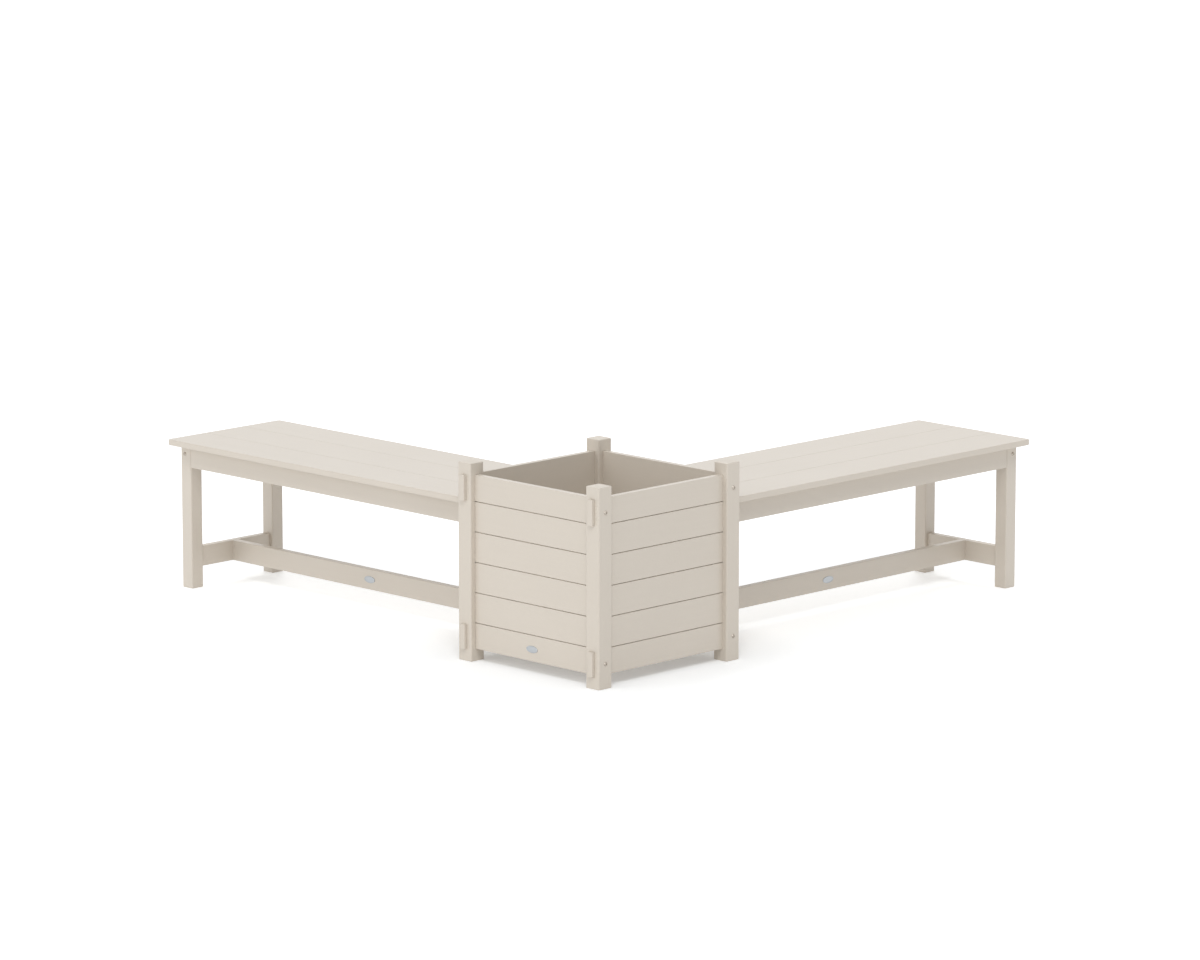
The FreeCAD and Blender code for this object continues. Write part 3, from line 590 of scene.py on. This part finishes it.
apron = model_rail("right_outer_apron_rail", X, (APRON_START, -APRON_OUT, APRON_LOW),
                   (LEG_START, -APRON_IN, SEAT_LOW), (1,))
batten_low = SEAT_LOW - BATTEN_THICK
for middle in BATTEN_MIDDLES:
    cut(apron, (middle - BATTEN_HALF - FIT, -APRON_IN - BATTEN_HOUSING, batten_low),
        (middle + BATTEN_HALF + FIT, 0, SEAT_LOW + OVER))

cross_rail = model_rail("right_cross_rail", Y, (cross_near, -LEG_IN, STRETCHER_LOW),
                        (cross_far, LEG_IN, STRETCHER_TOP), (-1, 1))
stub_mortise(cross_rail, X, (cross_near - OVER, -STRETCHER_HALF, STRETCHER_LOW),
             (cross_near + deep, STRETCHER_HALF, STRETCHER_TOP))
bench = {
    "outer_leg": leg,
    "inner_leg": mirrored(leg, "right_inner_leg", Y),
    "outer_apron": apron,
    "inner_apron": mirrored(apron, "right_inner_apron_rail", Y),
    "end_apron": model_rail("right_end_rail", Y, (END_APRON_START, -LEG_IN, APRON_LOW),
                            (END_APRON_END, LEG_IN, SEAT_LOW), (-1, 1)),
    "cross_stretcher": cross_rail,
    "long_stretcher": model_rail("right_long_rail", X, (PANEL_FACE, -STRETCHER_HALF, STRETCHER_LOW),
                                 (cross_near, STRETCHER_HALF, STRETCHER_TOP), (1,)),
}
SWAPPED = {
    "outer_leg": "inner_leg", "inner_leg": "outer_leg",
    "outer_apron": "inner_apron", "inner_apron": "outer_apron",
}
for role, piece in bench.items():
    left_role = SWAPPED.get(role, role)
    twin = put(copy_of(piece, f"left_{left_role}_piece"), 1)
    finish_piece(twin, f"left_bench_{left_role}")
    finish_piece(put(piece), f"right_bench_{role}")
print(f"{2 * len(bench)} legs and rails")

# %% [markdown]
# ## Domed screws
#
# Stainless screws hold the frame. The head is a slice of a sphere: a UV sphere
# is bisected at the level of the wood, and the flat below is inset and extruded
# into the shank and its point. A six-sided prism cuts the key's socket, which
# is the dark spot in the middle of each head. One screw of each size is
# modelled at the origin, then copied to every hole.

# %% One screw of each size
POINT = 0.05


def model_screw(name, head, dome, shank, length, key):
    """A screw along -Z whose domed head stands on the plane z = 0."""
    ball = (head ** 2 / 4 + dome ** 2) / (2 * dome)
    bpy.ops.object.select_all(action="DESELECT")
    bpy.ops.mesh.primitive_uv_sphere_add(segments=28, ring_count=28, radius=ball, location=(0, 0, dome - ball))
    screw = bpy.context.object
    screw.name = name
    bpy.ops.object.transform_apply(location=True)
    bpy.ops.object.mode_set(mode="EDIT")
    bpy.ops.mesh.select_all(action="SELECT")
    bpy.ops.mesh.bisect(plane_co=(0, 0, 0), plane_no=(0, 0, 1), clear_inner=True, use_fill=True)
    bpy.ops.object.mode_set(mode="OBJECT")
    grow(screw, lambda face: lies_at(face, Z, 0), (0, 0, shank - length), (head - shank) / 2)
    grow(screw, lambda face: lies_at(face, Z, shank - length), (0, 0, -shank))
    pick(screw, "FACE", lambda face: lies_at(face, Z, -length))
    bpy.ops.transform.resize(value=(POINT, POINT, 1), center_override=(0, 0, -length))
    bpy.ops.object.mode_set(mode="OBJECT")
    bpy.ops.object.select_all(action="DESELECT")
    bpy.ops.mesh.primitive_cylinder_add(vertices=6, radius=key / 2, depth=dome, location=(0, 0, dome))
    cut_with(screw, bpy.context.object)
    return screw


frame_screw = model_screw("frame_screw", head=0.012, dome=0.004, shank=0.006, length=0.080, key=0.0052)
small_screw = model_screw("small_screw", head=0.009, dome=0.0025, shank=0.004, length=0.030, key=0.0036)
print(f"a frame screw has {len(frame_screw.data.polygons)} faces")

# %% [markdown]
# ## Every hole gets its screw
#
# A place is a point on the planter's or a bench's own frame, the way the head
# looks, and the quarter turn of that frame. Screws go through the posts into
# the sides, from inside the planter into the benches, through the legs into the
# aprons, and through the cross stretcher into the long one. The small ones hold
# the cleats and, from below, the battens.

# %% Screw places
UP, DOWN = (0, 0, 1), (0, 0, -1)
FRONT, BACK, OUT = (0, -1, 0), (0, 1, 0), (1, 0, 0)
PANEL_INSIDE = PANEL_FACE - BOARD
POST_MIDDLE, RAIL_MIDDLE = 0.254, 0.1725
POST_SCREW_LEVELS = (0.071, 0.496)
LEDGER_LEVEL, STRETCHER_LEVEL = 0.39975, 0.091
END_APRON_MIDDLE, LEG_SIDE_LEVEL, LEG_END_LEVEL = 1.5535, 0.405, 0.387
CROSS_SCREW_LEVELS = (0.0765, 0.1055)
CLEAT_THICK, CLEAT_LEVEL, CLEAT_SCREWS = 0.020, 0.0505, (-0.15, 0, 0.15)
BATTEN_SCREWS = (-0.1435, -0.0949, -0.0538, 0.0538, 0.0949, 0.1435)

frame_places = []
for side in (-1, 1):
    for level in POST_SCREW_LEVELS:
        frame_places.append(((side * POST_MIDDLE, -POST_OUT, level), FRONT, 0))
        frame_places.append(((side * POST_MIDDLE, POST_OUT, level), BACK, 0))
for turn in (1, 2):
    for along, level in ((-RAIL_MIDDLE, LEDGER_LEVEL), (RAIL_MIDDLE, LEDGER_LEVEL), (0, STRETCHER_LEVEL)):
        frame_places.append(((along, -PANEL_INSIDE, level), BACK, turn))
for turn in (0, 1):
    for side in (-1, 1):
        frame_places.append(((END_APRON_MIDDLE, side * LEG_OUT, LEG_SIDE_LEVEL), (0, side, 0), turn))
        frame_places.append(((LEG_END, side * RAIL_MIDDLE, LEG_END_LEVEL), OUT, turn))
    for level in CROSS_SCREW_LEVELS:
        frame_places.append(((cross_far, 0, level), OUT, turn))

small_places = []
for turn in (1, 3):
    for along in CLEAT_SCREWS:
        small_places.append(((along, -PANEL_INSIDE + CLEAT_THICK, CLEAT_LEVEL), BACK, turn))
for turn in (0, 1):
    for along in BATTEN_MIDDLES:
        for across in BATTEN_SCREWS:
            small_places.append(((along, across, batten_low), DOWN, turn))

screw_sets = ((frame_screw, frame_places, "frame_screws"), (small_screw, small_places, "small_screws"))
for model, places, node in screw_sets:
    for number, (spot, way, turn) in enumerate(places, 1):
        screw = copy_of(model, f"{model.name}_{number:02d}")
        lean = Vector(way).to_track_quat("Z", "Y").to_matrix().to_4x4()
        screw.data.transform(Matrix.Translation(spot) @ lean)
        finish_piece(put(screw, turn), node, screw_steel)
    bpy.data.objects.remove(model, do_unlink=True)
print(f"{len(frame_places)} frame screws and {len(small_places)} small ones")

# %% [markdown]
# ## Blank oval plates
#
# Small oval plates sit on the planter and on both long stretchers. Here they
# carry nothing. A cylinder is squeezed into an oval, its top is inset and
# sunk for a raised rim round a bare field, and the rings are bevelled, so the
# rim draws a bright line round the plate.

# %% Plates
PLATE_LONG, PLATE_TALL, PLATE_THICK = 0.022, 0.010, 0.0015
FIELD_MARGIN, FIELD_SINK, PLATE_ROUND = 0.0016, 0.0005, 0.00035

bpy.ops.object.select_all(action="DESELECT")
bpy.ops.mesh.primitive_cylinder_add(vertices=64, radius=PLATE_LONG, depth=PLATE_THICK,
                                    location=(0, 0, PLATE_THICK / 2))
plate = bpy.context.object
plate.name = "planter_plate"
bpy.ops.object.transform_apply(location=True)
bpy.ops.object.mode_set(mode="EDIT")
bpy.ops.mesh.select_all(action="SELECT")
bpy.ops.transform.resize(value=(1, PLATE_TALL / PLATE_LONG, 1), center_override=(0, 0, 0))
bpy.ops.object.mode_set(mode="OBJECT")
grow(plate, lambda face: lies_at(face, Z, PLATE_THICK), (0, 0, -FIELD_SINK), FIELD_MARGIN)
round_edges(plate, PLATE_ROUND, lambda edge: lies_at(edge, Z, PLATE_THICK))

WEST, SOUTH = Vector((-1, 0, 0)), Vector((0, -1, 0))
plate_places = {
    "planter_plate": ((-0.009, 0.254, 0.06975), WEST),
    "left_plate": ((0.243, 1.190, 0.091), WEST),
    "right_plate": ((1.190, 0.243, 0.091), SOUTH),
}
for name, (spot, way) in plate_places.items():
    twin = copy_of(plate, f"{name}_blank")
    across = Vector(UP).cross(way)
    lean = Matrix((across, Vector(UP), way)).transposed().to_4x4()
    twin.data.transform(Matrix.Translation(spot) @ lean)
    finish_piece(twin, "blank_plates", plate_metal)
bpy.data.objects.remove(plate, do_unlink=True)
print(f"{len(plate_places)} plates")

# %% [markdown]
# ## Pieces that stay as they are
#
# The floor sheet, the cleats, the ledgers and the battens are plain and mostly
# hidden, and the CAD gives them their true shape. They keep their meshes and
# only get the lumber whose grain runs along them.

# %% Finishes for the CAD nodes that stay
kept = [name for name, node in nodes.items() if not node.hide_render]
for name in kept:
    low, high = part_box(name)
    spans = list(high - low)
    for slot in nodes[name].material_slots:
        slot.material = lumber[spans.index(max(spans))]
print("CAD nodes that show:", ", ".join(kept))

# %% [markdown]
# ## Floor, world and lamps
#
# The studio is white, with very soft shadows. The world gives an
# even light. Three far, wide lamps add to it: one on the left makes the left
# faces brighter, one overhead lights the front, and one high at the back puts a
# sheen on the seats. The white ground sends light up, too. To the camera and in
# mirrors the floor is a little paler and cooler. Near the planter it gives the
# camera and mirrors less light, which is painted shade round the planter's base,
# and further out it reaches white beyond the object's shadow.

# %% Studio
WORLD_LIGHT = 0.53
FLOOR_SEEN, FLOOR_OTHER = (0.965, 0.985, 1.0, 1), (0.8, 0.8, 0.8, 1)
# The camera's floor light is lower near the planter: painted shade round its base, fading out further away.
GLOW_IN_PAINTED_SHADE, GLOW_PAST_PAINTED_SHADE, GLOW_OTHER = 0.19, 0.34, 0.20
PAINTED_SHADE_REACH, PAINTED_SHADE_FADE_END = 0.36, 0.62
FLOOR_SIZE = 120


def seen_by_eye(tree):
    """One for rays from the camera and for rays mirrored or let through on the way, nought for lighting rays."""
    rays = add_node(tree, "ShaderNodeLightPath").outputs
    mirrored_too = add_node(tree, "ShaderNodeMath", {0: rays["Is Camera Ray"], 1: rays["Is Glossy Ray"]},
                            operation="MAXIMUM").outputs[0]
    return add_node(tree, "ShaderNodeMath", {0: mirrored_too, 1: rays["Is Transmission Ray"]},
                    operation="MAXIMUM").outputs[0]


world = bpy.data.worlds.new("studio")
scene.world = world
world.use_nodes = True
world.node_tree.nodes.clear()
strength = add_node(world.node_tree, "ShaderNodeMapRange",
                    {0: seen_by_eye(world.node_tree), 3: WORLD_LIGHT, 4: 1.0})
sky = add_node(world.node_tree, "ShaderNodeBackground", {"Strength": strength.outputs[0], "Color": (1, 1, 1, 1)})
add_node(world.node_tree, "ShaderNodeOutputWorld", {"Surface": sky.outputs[0]})

floor_finish, tree = start_material("floor_with_painted_shade")
seen = seen_by_eye(tree)
paleness = add_node(tree, "ShaderNodeMix", {0: seen, 6: FLOOR_OTHER, 7: FLOOR_SEEN}, data_type="RGBA").outputs[2]
spot = add_node(tree, "ShaderNodeTexCoord").outputs["Object"]
reach = add_node(tree, "ShaderNodeVectorMath", {0: spot, 1: CENTRE}, operation="DISTANCE").outputs["Value"]
# Near the planter the floor gives the camera and mirrors less light: painted shade round the planter's base.
shown = add_node(tree, "ShaderNodeMapRange",
                 {0: reach, 1: PAINTED_SHADE_REACH, 2: PAINTED_SHADE_FADE_END, 3: GLOW_IN_PAINTED_SHADE, 4: GLOW_PAST_PAINTED_SHADE}).outputs[0]
glow_with_painted_shade = add_node(tree, "ShaderNodeMix", {0: seen, 2: GLOW_OTHER, 3: shown}).outputs[0]
lit = add_node(tree, "ShaderNodeBsdfDiffuse", {"Color": paleness})
shining = add_node(tree, "ShaderNodeEmission", {"Strength": glow_with_painted_shade})
both = add_node(tree, "ShaderNodeAddShader", {0: lit.outputs[0], 1: shining.outputs[0]})
end_material(tree, both.outputs[0])

bpy.ops.object.select_all(action="DESELECT")
bpy.ops.mesh.primitive_plane_add(size=FLOOR_SIZE, location=(0, 0, 0))
floor = bpy.context.object
floor.name = "floor"
floor.data.materials.append(floor_finish)
floor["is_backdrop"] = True


def add_far_lamp(name, direction, strength, width=32):
    """A far, wide and soft light that comes from a direction and is as strong everywhere."""
    lamp_data = bpy.data.lights.new(name, "SUN")
    lamp_data.energy = strength
    lamp_data.angle = math.radians(width)
    lamp = bpy.data.objects.new(name, lamp_data)
    scene.collection.objects.link(lamp)
    lamp.rotation_euler = Vector(direction).to_track_quat("Z", "Y").to_euler()


add_far_lamp("left_lamp", (-7.9, 1.9, 2.7), 0.49)
add_far_lamp("overhead_lamp", (-4.9, -4.9, 8.6), 0.90, 22)
add_far_lamp("back_lamp", (4.2, 4.2, 7.8), 0.66, 18)
scene.view_settings.view_transform = "Standard"

# %% [markdown]
# ## The size of what is shown
#
# Blender must not change the object's size. The box of what is shown now is
# printed.

# %% Finish
low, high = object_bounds()
print("shown box", [round(value, 4) for value in (*low, *high)])
